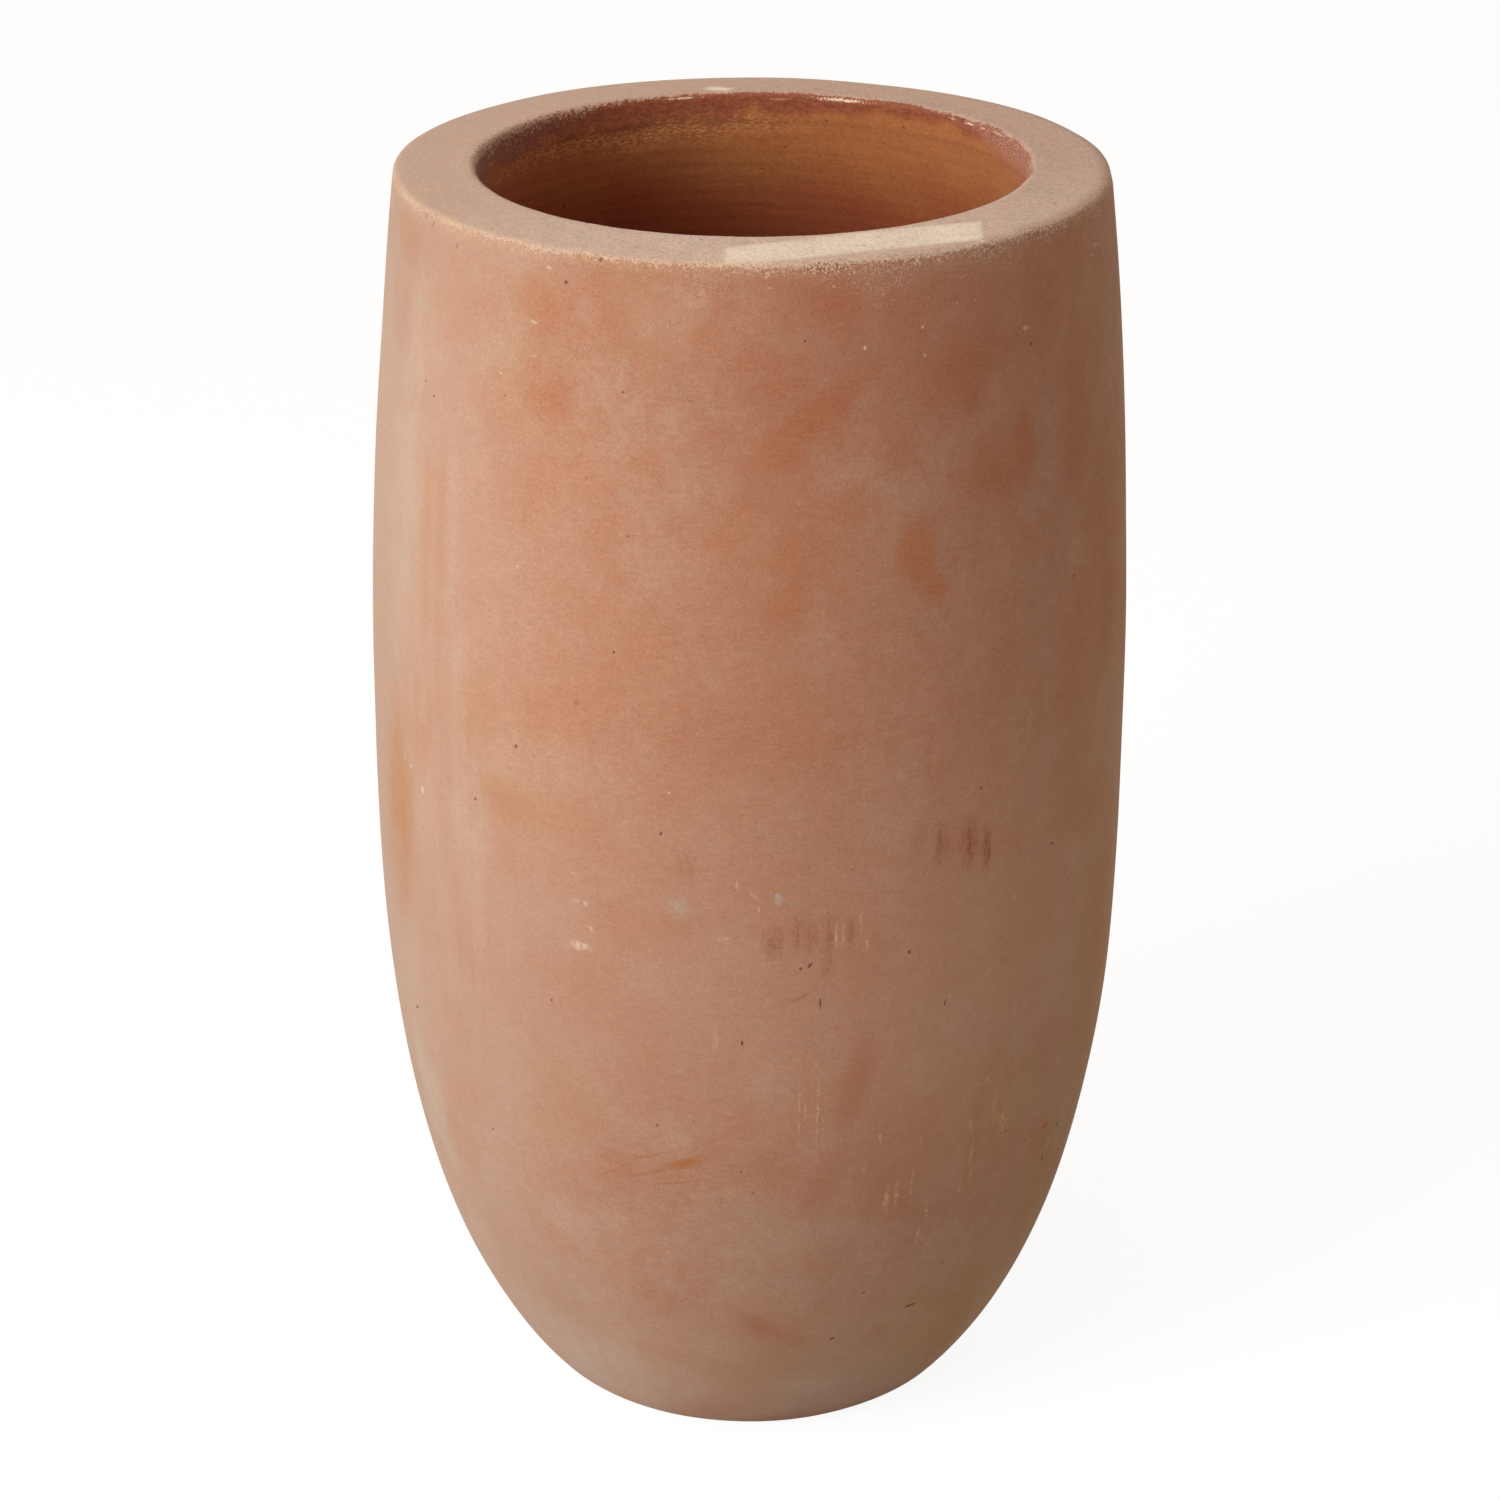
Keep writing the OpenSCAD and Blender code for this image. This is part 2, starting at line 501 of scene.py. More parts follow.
# Each mark has the same values as a spot
DARK_PITS = [
    (8.5, 381.5, 0.9, 2, 1, -30),
    (7.2, 380, 1, 1, 1),
    (23.3, 382, 1.2, 1.2, 1),
    (10.1, 356, 0.7, 3.4, 1),
    (-35.1, 503, 1.3, 1.1, 1),
    (-43.2, 460, 1, 1, 1),
    (-25, 539, 2.6, 2.2, 0.3),
    (45.3, 734, 1.3, 1.3, 1),
    (-54.4, 695, 1.1, 1, 1),
    (-19.3, 573, 0.9, 0.9, 1),
    (-12.5, 465, 0.9, 1.2, 1, -30),
    (34.8, 477, 0.9, 1.1, 1),
    (50, 421, 2, 0.9, 1),
    (54.8, 586, 1.3, 0.9, 1),
    (-30, 343, 0.9, 0.9, 1),
    (-44.3, 231, 0.9, 1.2, 1),
    (15.3, 95, 2, 1.3, 1),
    (-1.1, 331, 0.8, 1.8, 1),
    (-28.5, 780, 1.3, 1.3, 1, 20),
    (-50.9, 785.5, 0.8, 2.2, 0.6, -10),
    (-60.5, 794, 0.6, 2.5, 0.7, -30),
    (-58, 791.5, 0.6, 2.2, 0.6, -30),
    (-43.7, 756, 0.8, 0.8, 0.5),
    (-57, 701, 0.9, 0.9, 0.8),
    (-38.5, 710, 0.8, 0.8, 0.7),
    (-22.9, 795, 1.4, 1.1, 0.9),
    (-18.8, 723.5, 0.9, 0.9, 0.8),
    (-19.4, 758, 0.7, 0.7, 0.4),
    (-12, 763, 0.8, 0.8, 0.4),
    (-8.8, 721.5, 1.4, 0.5, 0.5),
    (-24, 672.5, 0.8, 0.8, 0.6),
    (-17.5, 642, 0.8, 0.8, 0.7),
    (-60, 557, 0.8, 0.8, 0.5),
    (7.5, 755, 0.8, 0.8, 1),
    (30, 110, 5, 1.2, 1),
    (29.5, 342, 0.7, 2.6, 1, -20),
    (-13.8, 269.5, 0.9, 1, 1),
    (-8.2, 275, 0.8, 0.8, 0.5),
    (-1.3, 239, 0.8, 0.8, 0.6),
    (0.5, 223.3, 0.9, 0.8, 0.6),
    (20, 133, 1.1, 1, 1),
    (-63.5, 285, 3, 0.9, 1, 20),
    (35, 140, 1.4, 0.9, 1),
    (61, 203.5, 1.4, 2.8, 0.9),
    (44.2, 229.3, 1, 1, 0.9),
    (49.8, 213.4, 0.9, 1.9, 0.8),
    (60, 188.6, 1.3, 2.4, 0.7, 15),
    (57.6, 184.1, 1.6, 2.4, 0.8, 25),
    (43.2, 285.4, 0.8, 0.8, 0.8),
    (40.1, 240.7, 1, 1, 0.5),
]
PALE_CHIPS = [
    (-25.4, 414, 3.4, 1.9, 0.45, -10),
    (-24, 413, 1.7, 1.9, 0.7),
    (-24.9, 384.6, 6.4, 2.7, 0.9),
    (-25.6, 430.8, 3.4, 0.8, 0.55, -25),
    (-23.2, 397.5, 2.2, 1, 1.1, -45),
    (-62, 460, 1, 2.6, 1, 15),
    (-60, 457, 1.8, 1.3, 1),
    (-56.4, 447, 1.8, 2.6, 1),
    (-11.3, 491, 0.7, 0.7, 1),
    (44.3, 744, 2.8, 1.2, 1, -10),
    (16.3, 749, 1.2, 1.1, 1),
    (25.4, 757, 1.2, 1, 1),
    (25.6, 741, 1.2, 1.1, 1),
    (-33.8, 755, 3.2, 0.9, 1, -12),
    (-39.6, 722, 0.8, 0.8, 1),
    (-35, 613, 0.7, 0.7, 1),
    (-1.8, 433.5, 0.7, 3.2, 0.7, 5),
    (0.6, 428, 4, 1.4, 0.35, -40),
    (-3.8, 400, 3.4, 1.2, 0.35, 10),
    (-5, 334, 2.2, 9, 0.3),
    (9.5, 315, 0.9, 0.8, 0.7),
    (66, 772, 2.2, 1.3, 0.8),
    (68, 771, 2, 1, 0.8),
    (64.3, 768, 1.6, 0.9, 0.7),
    (-46.6, 740, 0.7, 0.7, 0.9),
    (-31.5, 786.5, 2.3, 0.7, 1, -10),
    (-33.4, 736, 1.6, 0.6, 0.5, 20),
    (-37.6, 732.5, 0.6, 2.2, 0.5),
    (-37.1, 716, 0.8, 0.8, 0.5),
    (-18.4, 721.5, 0.6, 0.6, 0.8),
    (2.4, 784.5, 0.7, 0.6, 0.7),
    (11.8, 784, 0.9, 0.6, 0.8),
    (19.3, 777.5, 0.8, 0.6, 0.8),
    (20.9, 773.7, 0.7, 0.6, 0.7),
    (31.4, 767, 0.8, 0.6, 0.7),
    (34.6, 766.5, 0.8, 0.6, 0.7),
]
GOLD_STROKES = [
    (7.2, 280, 0.9, 20, 0.8),
    (8.1, 282, 0.8, 7, 0.6),
    (10, 276, 0.9, 34, 0.8),
    (10.9, 274, 0.8, 12, 0.5),
    (19.9, 255, 0.6, 3.4, 1.4, 8),
    (13.2, 402, 1, 9, 1),
    (15.8, 407, 0.8, 6, 1),
    (16.8, 393, 1.1, 7, 1),
    (12.2, 400, 0.8, 8, 1),
    (1.2, 420, 0.8, 4, 1),
    (17.6, 238, 1.6, 9, 0.35),
    (21.8, 207, 2.2, 9, 1),
    (23.4, 209, 1.9, 11, 1),
    (26, 216, 0.9, 12, 1),
    (29.4, 190, 1.1, 10, 1, 8),
    (28.4, 171, 1.6, 7, 1),
    (36.1, 243, 2.2, 8, 1.1, 10),
    (36.9, 224, 1.4, 14, 0.9),
    (37.4, 209, 1, 8, 0.8),
    (43.1, 240, 3.2, 7, 1.4),
    (38.6, 278, 1.6, 3, 1, -15),
    (36.6, 276, 1.2, 1.6, 0.8),
    (40.4, 258, 1.6, 13, 0.5),
    (58.8, 194, 2, 5, 0.5),
    (35.5, 201, 1.2, 5, 1),
    (-38.6, 55, 3.6, 3, 1),
    (42, 398, 2.4, 2.2, 1),
    (26.8, 247, 0.8, 6, 1),
]
ORANGE_SMEARS = [
    (-9.8, 243.5, 16, 4.3, 1.2, 20),
    (-21.6, 230, 20, 1.3, 0.6, 33),
    (-15.2, 246, 18, 1.2, 0.6, 20),
    (-15.5, 233.5, 17, 1.6, 0.75, 20),
    (-11.5, 228, 24, 1, 0.8, 11),
    (7, 360, 8, 1.2, 0.8, 30),
    (56, 211.4, 4.4, 3.2, 1.1),
    (57.8, 222, 3, 2.4, 0.5),
]
BLUE_SMUDGES = [
    (-10, 419, 7, 6.8, 0.9),
    (4, 426.5, 2.8, 3.6, 1.6),
    (6.4, 423, 4.6, 3.2, 0.45),
]

# Marks on the mouth's corner and inside it: dark pits, and glints that are painted highlights of sun on the
# corner. Half widths are as on the belly, so larger than they look
MOUTH_PAINTED_GLINTS = [
    (160, 797, 20, 0.9, 1),
    (-164.5, 797.3, 11, 0.6, 0.8),
    (174, 795.5, 8, 0.5, 0.25),
    (131, 796.8, 4, 0.5, 0.6),
    (125.2, 796.8, 5, 0.6, 0.8),
    (120.5, 796.8, 3, 0.5, 0.6),
    (114, 797.5, 8, 0.5, 0.5),
    (86, 797.5, 12, 0.5, 0.5),
]
MOUTH_PITS = [
    (144.5, 784.3, 1.7, 1.1, 1),
    (172.8, 763.6, 1.6, 1.1, 0.8),
    (150.2, 771.5, 1.3, 0.9, 0.8),
    (-166, 760, 1.2, 0.9, 0.6),
    (178, 748, 1.3, 0.9, 0.6),
    (139, 762, 1.2, 0.9, 0.6),
    (163.3, 782.9, 1.5, 1, 0.8),
    (-136.8, 734.9, 2.4, 1.6, 1),
    (-148.5, 765.9, 1.5, 1.1, 0.8),
    (127.8, 797.6, 3, 1.4, 1),
]

# Bearings and heights of the side that the photograph doesn't show, which gets stains of the same kinds
HIDDEN_SIDE = (82, 278)
HIDDEN_HEIGHTS = (30, 780)
HIDDEN_TILTS = (-25, 25)

# A corner that no mark is near has this place in its mark's frame
FAR_OFF = 99.0


def hidden_spots(seed, count, half_wide, half_high, strength):
    """Seeded spots for the side that the photograph doesn't show, sized within the given ranges."""
    rng = np.random.default_rng(seed)
    spots = []
    for _ in range(count):
        ranges = (HIDDEN_SIDE, HIDDEN_HEIGHTS, half_wide, half_high, HIDDEN_TILTS, strength)
        *ellipse, tilt, drawn = [rng.uniform(*limits) for limits in ranges]
        spots.append((*ellipse, drawn, tilt))
    return spots


class Spot:
    """A stain or a mark: an ellipse on the wall, tilted by some degrees."""

    def __init__(self, bearing, height, half_wide, half_high, strength, tilt=0):
        self.bearing, self.height = bearing, height
        self.half_wide, self.half_high = half_wide, half_high
        self.strength, self.turn = strength, math.radians(tilt)

    def frame(self, bearing, height):
        """Where points lie in the spot's own frame, in half widths across it and half heights up it."""
        across = ((bearing - self.bearing + 180) % 360 - 180) * MM_PER_DEGREE
        up = height - self.height
        along = math.cos(self.turn) * across + math.sin(self.turn) * up
        over = math.cos(self.turn) * up - math.sin(self.turn) * across
        return along / self.half_wide, over / self.half_high


def stain(spots, softness, raggedness, seed):
    """Strength of a stain at every point of the outer wall: that of the strongest soft-edged spot."""
    ragged = raggedness * (waves(0.030, seed) + 0.5 * waves(0.012, seed + 1))
    total = np.zeros(skin.bearing.shape)
    for spot in (Spot(*values) for values in spots):
        reach = np.hypot(*spot.frame(skin.bearing, skin.height)) + ragged
        total = np.maximum(total, spot.strength * smooth_step(1 + softness, 1 - softness, reach))
    return total * skin.part(*WALL_PARTS)


def nearest_mark(marks, *parts):
    """For each quad's corners: across and up in the frame of the mark nearest to the quad, and its strength.

    A quad takes one mark, so a mark stays sharp at any size, however coarse the quads are. Quads outside the
    named parts of the section take none.
    """
    next_bearing = skin.bearing + 360 / AROUND
    next_height = np.roll(skin.height, -1, axis=0)
    bearing = np.stack([skin.bearing, next_bearing, next_bearing, skin.bearing], axis=-1)
    height = np.stack([skin.height, skin.height, next_height, next_height], axis=-1)
    middle = bearing.mean(axis=-1), height.mean(axis=-1)
    best = np.full(middle[0].shape, np.inf)
    frames = np.full(bearing.shape + (3,), FAR_OFF)
    for mark in (Spot(*values) for values in marks):
        along, over = mark.frame(*middle)
        reach = np.hypot(along, over)
        gap = np.hypot(along * mark.half_wide, over * mark.half_high) * (1 - 1 / np.maximum(reach, 1))
        closer = gap < best
        best[closer] = gap[closer]
        along, over = mark.frame(bearing[closer], height[closer])
        frames[closer] = np.stack([along, over, np.full_like(along, mark.strength)], axis=-1)
    frames[skin.part(*parts) == 0] = FAR_OFF
    return frames


def over_outer_edge():
    """Millimetres from the rim's outer corner: positive in over the flat, negative down the wall."""
    inward, down = (RIM_R - skin.radius) * MM, RIM_Z * MM - skin.height
    return (inward - down) * skin.part(*EDGE_PARTS)


def over_inner_edge():
    """Millimetres from the rim's inner corner: positive out over the flat, negative down the mouth."""
    return (skin.radius - MOUTH_R) * MM - (JAR_H * MM - skin.height)


def bleach_and_painted_light():
    """How pale the wall is, 0 to 1: most on the camera's left, and near the foot. Partly whitening by sun and
    lime, partly painted light: the left, where the window's light falls, and the right edge are made paler.
    """
    left = facing(-105, -0.1, 1.0)
    right = facing(75, 0.3, 1.0)
    low = 0.30 * smooth_step(560, 380, skin.height) + 0.35 * smooth_step(160, 30, skin.height)
    return 0.1 + 0.85 * left + 0.3 * right + low * (1 - left)


def mottling():
    """How strongly the clay's colour varies: most on the shoulder and low down, least where the wall is paler
    with whitening and painted light.
    """
    shoulder = 0.68 * smooth_step(610, 720, skin.height)
    low = 0.92 * smooth_step(330, 190, skin.height)
    right = 0.44 * facing(58, 0.5, 1.0)
    more = np.maximum(np.maximum(shoulder, low), right)
    return (1 + more) * (0.8 - 0.35 * smooth_step(0.2, 0.9, bleach_and_painted_light()))


def edge_wear():
    """Strength of the pale sandy wear along the rim's outer edge, most on the camera's left and front."""
    along_edge = np.exp(-(((over_outer_edge() + 1.2) / 4.6) ** 2))
    around = 0.3 + 0.7 * facing(-35, 0.4, 0.95)
    patchy = 0.8 + 0.2 * waves(0.05, 35)
    return along_edge * around * patchy * skin.part(*EDGE_PARTS) * (skin.height > 780)


def mouth_band_end():
    """Height in mm at which the mouth's scraped band ends: ragged, and lower on the camera's left."""
    ragged = 2.5 * waves(0.035, 31) + 1.5 * waves(0.012, 32)
    return 788 - 5 * facing(-130, -0.3, 0.9) + 4 * facing(130, 0.3, 0.95) + ragged


def mouth_roughness():
    """Strength of the scraped band inside the mouth, from its lower end up to the rim's corner."""
    end = mouth_band_end()
    within = smooth_step(end - 9, end + 8, skin.height)
    edge = skin.part("rim", "mouth_edge") * smooth_step(16, 4, over_inner_edge())
    return np.maximum(skin.part(*BAND_PARTS) * within, edge)


def creases():
    """Strength of the short level creases, golden where they catch the light, under the scraped band."""
    off = (skin.height - mouth_band_end() + 7) / 8
    around = 0.1 + 1.1 * facing(-143, 0.5, 1.0)
    return skin.part(*BAND_PARTS) * np.exp(-(off**2)) * around


def inner_gold():
    """How golden the inside is: least low down and on the camera's left, where the deeper colour is partly
    painted shade.
    """
    drift = 8 * waves(0.06, 34)
    return smooth_step(708, 765, skin.height + drift) * (0.3 + 0.7 * facing(160, -0.3, 1.0))


def pink_fringe():
    """Strength of the pink fringe round the mouth's corner: thin at the back, wide on the camera's right."""
    wide = facing(90, 0.72, 0.97)
    over = over_inner_edge()
    near = smooth_step(8, 1, over) * smooth_step(-5 - 22 * wide, 1 - 9 * wide, over)
    strength = 0.55 * facing(130, -0.1, 0.8) + 0.45 * wide
    return skin.part("rim", *MOUTH_PARTS) * near * strength


def mouth_plum():
    """Strength of the plum brown of the scraped band, on the camera's left."""
    return skin.part("rim", *MOUTH_PARTS) * facing(-102, 0.72, 0.99)


def rim_top():
    """1 on the dusty flat of the rim, which ends in loose grains at both of its corners."""
    ragged = waves(0.03, 33)
    left = facing(-110, 0.7, 0.98)
    inner = smooth_step(-3 - 11.5 * left, 5 + 3 * left, over_inner_edge() + ragged)
    fades = 0.5 + 0.5 * facing(60, 0.0, 0.9)
    outer = smooth_step(-2 - 6 * fades, 1 + fades, over_outer_edge() + 0.8 * ragged)
    on_wall = skin.part("wall", "rim_edge") * (skin.height > 770)
    on_mouth = skin.part("mouth_edge", "band")
    return on_wall * outer + skin.part("rim") * np.minimum(inner, outer) + on_mouth * inner


def pale_rim():
    """Strength of the paler dust on the rim, most at the front."""
    return skin.part("rim", "rim_edge", "mouth_edge") * facing(14, 0.1, 1.0)


# -------------------- the mesh


def jar_mesh():
    """One closed mesh of quads, with its texture layout and the attributes that its material reads."""
    mesh = bpy.data.meshes.new("jar")
    count = skin.rows * AROUND
    row, column = np.meshgrid(np.arange(skin.rows), np.arange(AROUND), indexing="ij")
    next_row, next_column = (row + 1) % skin.rows, (column + 1) % AROUND
    ring = [(row, column), (row, next_column), (next_row, next_column), (next_row, column)]
    corners = np.stack([r * AROUND + c for r, c in ring], axis=-1).reshape(-1, 4)
    mesh.vertices.add(count)
    mesh.vertices.foreach_set("co", uneven_places().ravel())
    mesh.loops.add(corners.size)
    mesh.loops.foreach_set("vertex_index", corners.ravel())
    mesh.polygons.add(len(corners))
    mesh.polygons.foreach_set("loop_start", np.arange(len(corners)) * 4)
    mesh.polygons.foreach_set("use_smooth", np.ones(len(corners), bool))
    mesh.update(calc_edges=True)
    lay_out_texture(mesh)
    add_stains(mesh)
    add_marks(mesh)
    mesh.validate()
    return mesh


def lay_out_texture(mesh):
    """Unrolls the skin onto one square: bearing across it, the way along the section up it."""
    u = np.arange(AROUND + 1) / AROUND
    row, column = np.meshgrid(np.arange(skin.rows), np.arange(AROUND), indexing="ij")
    across = np.stack([u[column], u[column + 1], u[column + 1], u[column]], axis=-1)
    up = np.stack([skin.v[row], skin.v[row], skin.v[row + 1], skin.v[row + 1]], axis=-1)
    layout = mesh.uv_layers.new(name="OFBake")
    layout.uv.foreach_set("vector", np.stack([across, up], axis=-1).ravel())


def add_stains(mesh):
    """Gives every point its strength of each stain, of the painted light and shade, and of each kind of
    surface.
    """
    hidden_orange = hidden_spots(41, 34, (10, 34), (12, 40), (0.4, 0.9))
    hidden_red = hidden_spots(42, 26, (12, 34), (12, 44), (0.3, 0.7))
    hidden_bloom = hidden_spots(43, 26, (8, 30), (12, 50), (0.3, 0.7))
    hidden_olive = hidden_spots(44, 10, (20, 44), (20, 60), (0.3, 0.6))
    strengths = {
        "orange": stain(ORANGE_SPOTS + hidden_orange, 0.55, 0.2, 51),
        "red": stain(RED_SPOTS + hidden_red, 0.75, 0.2, 53),
        "bloom": stain(BLOOM_SPOTS + hidden_bloom, 0.8, 0.25, 55),
        "olive": stain(OLIVE_SPOTS + hidden_olive, 0.8, 0.25, 57),
        "streaked": stain(STREAKED_SPOTS, 0.6, 0.1, 61),
        "painted_light": stain(PAINTED_LIGHT_SPOTS, 0.9, 0.1, 65),
        "painted_shade": stain(PAINTED_SHADE_SPOTS, 0.9, 0.1, 67),
        "sparkle": stain(SPARKLE_SPOTS, 0.5, 0.3, 63),
        "bleached_and_lit": bleach_and_painted_light(),
        "mottled": mottling(),
        "edge_wear": edge_wear(),
        "pale_rim": pale_rim(),
        "fringe": pink_fringe(),
        "mouth_plum": mouth_plum(),
        "mouth_rough": mouth_roughness(),
        "creased": creases(),
        "inner_gold": inner_gold(),
        "rim_top": rim_top(),
        "inside": skin.part("inside", "fillet", "floor", "undercut", "band"),
    }
    for name, strength in strengths.items():
        attribute = mesh.attributes.new(name, "FLOAT", "POINT")
        attribute.data.foreach_set("value", strength.astype(np.float32).ravel())


def add_marks(mesh):
    """Gives every quad's corners their place in the frame of the nearest mark of each kind."""
    marks = {
        "pit": (DARK_PITS, WALL_PARTS),
        "chip": (PALE_CHIPS, WALL_PARTS),
        "gold": (GOLD_STROKES, WALL_PARTS),
        "smear": (ORANGE_SMEARS, WALL_PARTS),
        "smudge": (BLUE_SMUDGES, WALL_PARTS),
        "plum": (PLUM_SMEARS + hidden_spots(45, 4, (4, 8), (10, 18), (0.6, 0.9)), WALL_PARTS),
        "mouth_pit": (MOUTH_PITS, MOUTH_PARTS),
        "painted_glint": (MOUTH_PAINTED_GLINTS, MOUTH_PARTS),
    }
    for name, (spots, parts) in marks.items():
        attribute = mesh.attributes.new(name, "FLOAT_VECTOR", "CORNER")
        attribute.data.foreach_set("vector", nearest_mark(spots, *parts).astype(np.float32).ravel())


# -------------------- node helpers


class Shader:
    """Short calls that add nodes to a material or a world and return the socket that carries the result."""

    def __init__(self, owner):
        owner.use_nodes = True
        self.tree = owner.node_tree
        self.tree.nodes.clear()

    def node(self, kind, sockets=(), **settings):
        made = self.tree.nodes.new(kind)
        for name, value in settings.items():
            setattr(made, name, value)
        for key, value in dict(sockets).items():
            if isinstance(value, bpy.types.NodeSocket):
                self.tree.links.new(value, made.inputs[key])
            else:
                made.inputs[key].default_value = value
        return made

    def attribute(self, name, output="Fac"):
        return self.node("ShaderNodeAttribute", attribute_name=name).outputs[output]

    def object_place(self):
        return self.node("ShaderNodeTexCoord").outputs["Object"]

    def noise(self, place, scale, detail=2.0, roughness=0.5, squeeze=(1, 1, 1)):
        """Noise of about scale features in a metre, and fewer along a squeezed axis, where it streaks."""
        if squeeze != (1, 1, 1):
            place = self.stretched(place, squeeze)
        sockets = {"Vector": place, "Scale": scale, "Detail": detail, "Roughness": roughness}
        return self.node("ShaderNodeTexNoise", sockets).outputs["Fac"]

    def cells(self, place, scale, output="Distance"):
        return self.node("ShaderNodeTexVoronoi", {"Vector": place, "Scale": scale}).outputs[output]

    def math(self, operation, a, b):
        return self.node("ShaderNodeMath", {0: a, 1: b}, operation=operation).outputs[0]

    def vector_math(self, operation, a, b=(0, 0, 0), output=0):
        return self.node("ShaderNodeVectorMath", {0: a, 1: b}, operation=operation).outputs[output]

    def stretched(self, place, scale):
        return self.vector_math("MULTIPLY", place, scale)

    def length(self, vector):
        return self.vector_math("LENGTH", vector, output="Value")

    def times(self, first, *others):
        for other in others:
            first = self.math("MULTIPLY", first, other)
        return first

    def plus(self, a, b):
        return self.math("ADD", a, b)

    def between(self, value, low, high, to_low=0.0, to_high=1.0):
        """value eased from low..high to to_low..to_high, and held there outside."""
        sockets = {"Value": value, "From Min": low, "From Max": high, "To Min": to_low, "To Max": to_high}
        return self.node("ShaderNodeMapRange", sockets, interpolation_type="SMOOTHSTEP").outputs["Result"]

    def mix(self, share, a, b, blend="MIX"):
        sockets = {0: share, 6: a, 7: b}
        return self.node("ShaderNodeMix", sockets, data_type="RGBA", blend_type=blend).outputs[2]

    def varied(self, colour, change):
        """colour, lighter where change is above 0 and darker where it is below."""
        return self.mix(1.0, colour, self.plus(1.0, change), "MULTIPLY")

    def tinted(self, colour, share, tint):
        """colour times tint, by a share that may be more than 1."""
        sockets = {0: [c - 1 for c in tint], "Scale": share}
        change = self.node("ShaderNodeVectorMath", sockets, operation="SCALE").outputs[0]
        return self.vector_math("MULTIPLY", colour, self.vector_math("ADD", change, (1, 1, 1)))

    def uneven(self, *noises):
        """Sum of noises, each about its middle and times its own weight."""
        total = -0.5 * sum(weight for _, weight in noises)
        for noise, weight in noises:
            sockets = {0: noise, 1: weight, 2: total}
            total = self.node("ShaderNodeMath", sockets, operation="MULTIPLY_ADD").outputs[0]
        return total

    def dithered(self, name, noise):
        """An attribute whose fading edge the noise breaks into loose grains, and which is 0 outside it."""
        strength = self.attribute(name)
        grains = self.between(self.plus(strength, noise), 0.3, 0.7)
        return self.times(grains, self.between(strength, 0.0, 0.15))


# -------------------- the clay

# Colours of the fired clay, as linear light
FRESH_CLAY = (0.47, 0.199, 0.111, 1)
# The pale clay stands for whitening by sun and lime, and partly for painted light on the lit side
BLEACHED_AND_LIT_CLAY = (0.53, 0.338, 0.244, 1)
SMEAR_ORANGE = (0.44, 0.158, 0.060, 1)
GOLD = (0.70, 0.440, 0.235, 1)
CHIPPED = (0.74, 0.550, 0.390, 1)
BLUE_GREY = (0.46, 0.395, 0.325, 1)
PIT_BROWN = (0.15, 0.056, 0.030, 1)
RIM_DUST = (0.56, 0.378, 0.287, 1)
RIM_ROSE = (0.53, 0.305, 0.212, 1)
PALE_DUST = (0.61, 0.430, 0.335, 1)
TAN = (0.58, 0.350, 0.200, 1)
SAND = (0.74, 0.540, 0.370, 1)
QUARTZ = (0.82, 0.700, 0.570, 1)
# The inside's deep colour is partly painted shade, lower in the hollow and on the camera's left
INSIDE_DEEP = (0.38, 0.084, 0.026, 1)
INSIDE_GOLD = (0.425, 0.139, 0.039, 1)
SCRAPED_CLAY = (0.37, 0.098, 0.037, 1)
SCRAPED_DARK = (0.23, 0.054, 0.021, 1)
MOUTH_PLUM = (0.25, 0.088, 0.056, 1)
# Painted highlight on the creases under the mouth's band, where they catch the light
CREASE_HIGHLIGHT = (0.72, 0.325, 0.125, 1)
FRINGE_PINK = (0.39, 0.136, 0.088, 1)
# Painted highlight of sun on the mouth's corner
PAINTED_GLINT = (0.95, 0.740, 0.520, 1)

# What each kind of stain does to the colour of the clay under it
TINTS = {
    "orange": (0.98, 0.84, 0.71),
    "red": (0.94, 0.79, 0.71),
    "bloom": (1.05, 1.23, 1.34),
    "olive": (0.97, 0.955, 0.81),
}
PAINTED_LIGHT_TINT = (1.08, 1.08, 1.08)
PAINTED_SHADE_TINT = (0.92, 0.92, 0.92)
PLUM_TINT = (0.74, 0.56, 0.50)

# How many features of each noise lie in a metre
CLOUDS = 9
PATCHES = 34
MOTTLES = 150
SAND_GRAINS = 420
FINE_GRAINS = 900


def mark_strength(sh, name, ragged, low, high):
    """A mark's strength inside it and 0 outside, with an edge that the ragged noise breaks up."""
    frame_of_mark = sh.attribute(name, "Vector")
    reach = sh.plus(sh.length(sh.stretched(frame_of_mark, (1, 1, 0))), ragged)
    strength = sh.node("ShaderNodeSeparateXYZ", {0: frame_of_mark}).outputs["Z"]
    return sh.times(sh.between(reach, high, low), strength)


